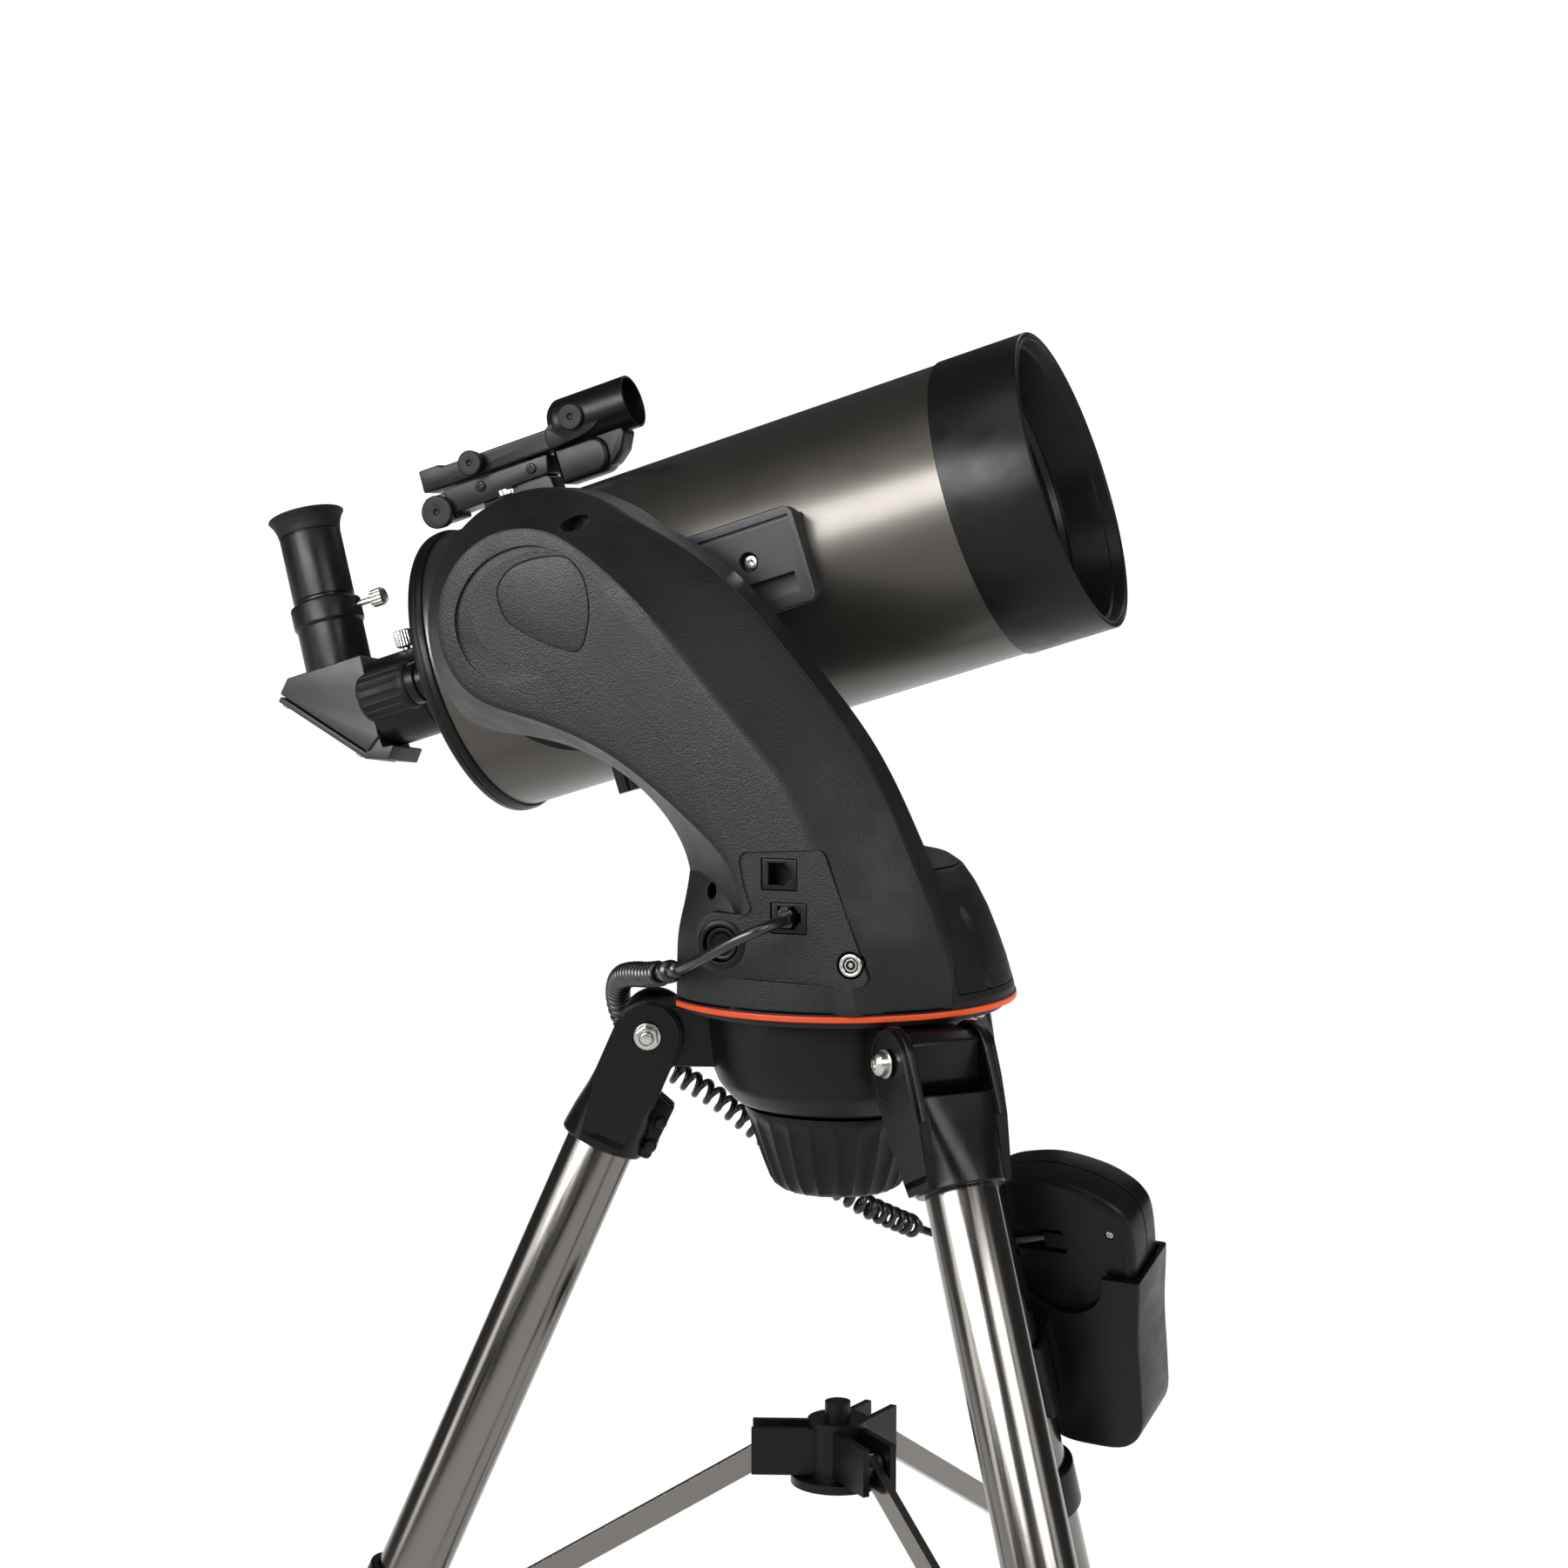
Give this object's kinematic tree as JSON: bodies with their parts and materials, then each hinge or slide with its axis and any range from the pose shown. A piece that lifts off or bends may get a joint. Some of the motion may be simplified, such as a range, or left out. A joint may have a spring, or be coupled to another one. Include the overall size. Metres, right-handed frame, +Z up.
{
  "type": "catadioptric telescope on a motorised mount",
  "caption": "Short catadioptric telescope on a single-arm computerised alt-azimuth mount and a folding steel tripod, with finder, star diagonal, eyepiece and corded hand control.",
  "frame": {"origin": "on the floor, on the mount's azimuth axis", "axes": "+Z up along the azimuth axis; +X is the compass direction that the optical tube points in, tilted 17.4 degrees up at rest; the mount's arm is on the -Y side and the tube on the +Y side"},
  "size_m": [0.6179, 0.6098, 0.9302],
  "materials": {
    "black_housing": "fine moulded texture, soft sheen",
    "orange_trim": "smooth, satin",
    "black_casting": "satin black enamel",
    "bright_steel": "polished tube steel",
    "tube_paint": "metallic dark grey enamel",
    "cell_black": "satin black",
    "black_anodised": "satin black anodised",
    "plated_steel": "bright plated",
    "coated_glass": "multi-coated, polished",
    "silvered_glass": "first-surface mirror",
    "matt_baffle": "matt black",
    "black_rubber": "matt rubber",
    "cord_black": "smooth vinyl",
    "key_rubber": "matt rubber keys, dark window",
    "worm_brass": "machined",
    "motor_steel": "plated can",
    "black_plastic": "smooth moulded"
  },
  "bodies": {
    "root": {"tripod_head": "black_casting", "hinge_bolts": "plated_steel", "azimuth_gear": "worm_brass", "cord_coil": "cord_black", "cord_sag": "cord_black"},
    "mount_knob": {"mount_knob": "black_plastic"},
    "spreader_hub": {"tray_hub": "black_plastic"},
    "azimuth": {"base_housing": "black_housing", "accent_ring": "orange_trim", "arm_outer_shell": "black_housing", "arm_inner_shell": "black_housing", "port_sockets": "black_plastic", "drive_motors": "motor_steel", "cord_lead": "cord_black"},
    "battery_door": {"battery_door": "black_housing"},
    "power_button": {"power_button": "black_plastic"},
    "altitude": {"altitude_gear": "worm_brass", "dovetail_clamp": "black_anodised"},
    "clamp_knob": {"clamp_knob": "black_plastic"},
    "optical_tube": {"tube": "tube_paint", "front_cell": "cell_black", "corrector_lens": "coated_glass", "rear_cell": "cell_black", "baffle_tube": "matt_baffle", "visual_back": "black_anodised", "dovetail_rail": "black_anodised", "finder_bracket": "black_plastic"},
    "mirror": {"primary_mirror": "silvered_glass"},
    "focus_knob": {"focus_knob": "black_rubber"},
    "visual_back_screw": {"visual_back_screw": "plated_steel"},
    "finder": {"finder_sight": "black_plastic"},
    "finder_knob_rear": {"finder_knob_rear": "black_plastic"},
    "finder_knob_top": {"finder_knob_top": "black_plastic"},
    "diagonal": {"diagonal_housing": "black_anodised", "diagonal_mirror": "silvered_glass"},
    "diagonal_screw": {"diagonal_screw": "plated_steel"},
    "eyepiece": {"eyepiece": "black_rubber"},
    "hand_control": {"handset_shell": "black_plastic", "handset_keypad": "key_rubber", "cord_plug": "black_plastic", "cord_tail": "cord_black"},
    "leg_a": {"leg_a_fittings": "black_casting", "leg_a_tube": "bright_steel"},
    "leg_a_extension": {"leg_a_extension": "bright_steel", "leg_a_foot": "black_rubber"},
    "leg_a_lock_knob": {"leg_a_lock_knob": "black_plastic"},
    "leg_a_strut": {"leg_a_strut": "bright_steel"},
    "leg_b": {"leg_b_fittings": "black_casting", "leg_b_tube": "bright_steel"},
    "leg_b_extension": {"leg_b_extension": "bright_steel", "leg_b_foot": "black_rubber"},
    "leg_b_lock_knob": {"leg_b_lock_knob": "black_plastic"},
    "leg_b_strut": {"leg_b_strut": "bright_steel"},
    "leg_c": {"leg_c_fittings": "black_casting", "leg_c_tube": "bright_steel", "handset_holder": "black_plastic"},
    "leg_c_extension": {"leg_c_extension": "bright_steel", "leg_c_foot": "black_rubber"},
    "leg_c_lock_knob": {"leg_c_lock_knob": "black_plastic"},
    "leg_c_strut": {"leg_c_strut": "bright_steel"}
  },
  "joints": [
    {"name": "azimuth", "type": "hinge", "parent": "root", "child": "azimuth", "pos_m": [0, 0, 0.62599], "axis": [0, 0, 1], "range_deg": [-180, 180], "deforming": ["cord_coil"]},
    {"name": "altitude", "type": "hinge", "parent": "azimuth", "child": "altitude", "pos_m": [-0.1228, 0.086, 0.795], "axis": [0, -1, 0], "range_deg": [-20, 72]},
    {"name": "tube_balance", "type": "slide", "parent": "altitude", "child": "optical_tube", "axis": [0.9544, 0, 0.2985], "range_m": [-0.02, 0.02]},
    {"name": "clamp_knob_turn", "type": "hinge", "parent": "altitude", "child": "clamp_knob", "pos_m": [-0.10405, 0.003, 0.73171], "axis": [-0.2985, 0, 0.9544], "range_deg": [-180, 180]},
    {"name": "focus_turn", "type": "hinge", "parent": "optical_tube", "child": "focus_knob", "pos_m": [-0.24732, 0.046, 0.75762], "axis": [0.9544, 0, 0.2985], "range_deg": [-3240, 3240]},
    {"name": "mirror_focus", "type": "slide", "parent": "optical_tube", "child": "mirror", "axis": [0.9544, 0, 0.2985], "range_m": [-0.00675, 0.00675]},
    {"name": "visual_back_screw_turn", "type": "hinge", "parent": "optical_tube", "child": "visual_back_screw", "pos_m": [-0.26191, 0.086, 0.78082], "axis": [-0.2985, 0, 0.9544], "range_deg": [-180, 180]},
    {"name": "diagonal_swivel", "type": "hinge", "parent": "optical_tube", "child": "diagonal", "pos_m": [-0.25642, 0.086, 0.7532], "axis": [0.9544, 0, 0.2985], "range_deg": [-60, 60]},
    {"name": "eyepiece_slide", "type": "slide", "parent": "diagonal", "child": "eyepiece", "axis": [-0.2956, 0.1392, 0.9451], "range_m": [0, 0.028]},
    {"name": "diagonal_screw_turn", "type": "hinge", "parent": "diagonal", "child": "diagonal_screw", "pos_m": [-0.2803, 0.09275, 0.79605], "axis": [0.9544, 0, 0.2985], "range_deg": [-180, 180]},
    {"name": "finder_tilt", "type": "hinge", "parent": "optical_tube", "child": "finder", "pos_m": [-0.18659, 0.084, 0.87667], "axis": [0, -1, 0], "range_deg": [-1, 1]},
    {"name": "finder_tilt_knob", "type": "hinge", "parent": "optical_tube", "child": "finder_knob_rear", "pos_m": [-0.23584, 0.074, 0.84618], "axis": [0, -1, 0], "range_deg": [-180, 180]},
    {"name": "finder_dimmer", "type": "hinge", "parent": "finder", "child": "finder_knob_top", "pos_m": [-0.21612, 0.074, 0.87058], "axis": [0, -1, 0], "range_deg": [0, 270]},
    {"name": "battery_door_slide", "type": "slide", "parent": "azimuth", "child": "battery_door", "axis": [1, 0, 0], "range_m": [0, 0.06]},
    {"name": "power_button_push", "type": "slide", "parent": "azimuth", "child": "power_button", "axis": [0, 1, 0], "range_m": [0, 0.0015], "stiffness_N_per_m": 500, "springref_m": -0.001},
    {"name": "mount_knob_turn", "type": "hinge", "parent": "root", "child": "mount_knob", "pos_m": [0, 0, 0.556], "axis": [0, 0, 1], "range_deg": [-180, 180]},
    {"name": "leg_a_fold", "type": "hinge", "parent": "root", "child": "leg_a", "pos_m": [-0.08275, -0.02451, 0.60799], "axis": [0.284, -0.9588, 0], "range_deg": [0, 20]},
    {"name": "leg_a_extend", "type": "slide", "parent": "leg_a", "child": "leg_a_extension", "axis": [-0.3877, -0.1148, -0.9146], "range_m": [0, 0.3]},
    {"name": "leg_a_lock_turn", "type": "hinge", "parent": "leg_a", "child": "leg_a_lock_knob", "pos_m": [-0.33044, -0.09788, 0.10773], "axis": [-0.8769, -0.2598, 0.4043], "range_deg": [-180, 180]},
    {"name": "leg_a_strut_turn", "type": "hinge", "parent": "leg_a", "child": "leg_a_strut", "pos_m": [-0.1745, -0.05169, 0.32229], "axis": [0.284, -0.9588, 0], "range_deg": [0, 24.4]},
    {"name": "leg_b_fold", "type": "hinge", "parent": "root", "child": "leg_b", "pos_m": [0.0626, -0.0594, 0.60799], "axis": [0.6884, 0.7254, 0], "range_deg": [0, 20]},
    {"name": "leg_b_extend", "type": "slide", "parent": "leg_b", "child": "leg_b_extension", "axis": [0.2933, -0.2783, -0.9146], "range_m": [0, 0.3]},
    {"name": "leg_b_lock_turn", "type": "hinge", "parent": "leg_b", "child": "leg_b_lock_knob", "pos_m": [0.24999, -0.23723, 0.10773], "axis": [0.6634, -0.6296, 0.4043], "range_deg": [-180, 180]},
    {"name": "leg_b_strut_turn", "type": "hinge", "parent": "leg_b", "child": "leg_b_strut", "pos_m": [0.13201, -0.12528, 0.32229], "axis": [0.6884, 0.7254, 0], "range_deg": [0, 24.4]},
    {"name": "leg_c_fold", "type": "hinge", "parent": "root", "child": "leg_c", "pos_m": [0.02015, 0.08392, 0.60799], "axis": [-0.9724, 0.2334, 0], "range_deg": [0, 20], "deforming": ["cord_sag"]},
    {"name": "leg_c_extend", "type": "slide", "parent": "leg_c", "child": "leg_c_extension", "axis": [0.0944, 0.3932, -0.9146], "range_m": [0, 0.3]},
    {"name": "leg_c_lock_turn", "type": "hinge", "parent": "leg_c", "child": "leg_c_lock_knob", "pos_m": [0.08045, 0.33511, 0.10773], "axis": [0.2135, 0.8893, 0.4043], "range_deg": [-180, 180]},
    {"name": "leg_c_strut_turn", "type": "hinge", "parent": "leg_c", "child": "leg_c_strut", "pos_m": [0.04249, 0.17697, 0.32229], "axis": [-0.9724, 0.2334, 0], "range_deg": [0, 24.4]},
    {"name": "spreader_rise", "type": "slide", "parent": "root", "child": "spreader_hub", "axis": [0, 0, 1], "range_m": [0, 0.0655]},
    {"name": "hand_control_lift", "type": "slide", "parent": "leg_c", "child": "hand_control", "axis": [-0.0944, -0.3932, 0.9146], "range_m": [0, 0.12], "deforming": ["cord_tail"]}
  ],
  "couplings": [
    {"joint": "focus_turn", "follows": "mirror_focus", "rad_per_m": 8377.6},
    {"joint": "finder_tilt_knob", "follows": "finder_tilt", "ratio": 180},
    {"joint": "leg_a_strut_turn", "follows": "leg_a_fold", "ratio": 1.198},
    {"joint": "leg_b_fold", "follows": "leg_a_fold", "ratio": 1},
    {"joint": "leg_b_strut_turn", "follows": "leg_a_fold", "ratio": 1.198},
    {"joint": "leg_c_fold", "follows": "leg_a_fold", "ratio": 1},
    {"joint": "leg_c_strut_turn", "follows": "leg_a_fold", "ratio": 1.198},
    {"joint": "spreader_rise", "follows": "leg_a_fold", "m_per_rad": 0.1873}
  ]
}
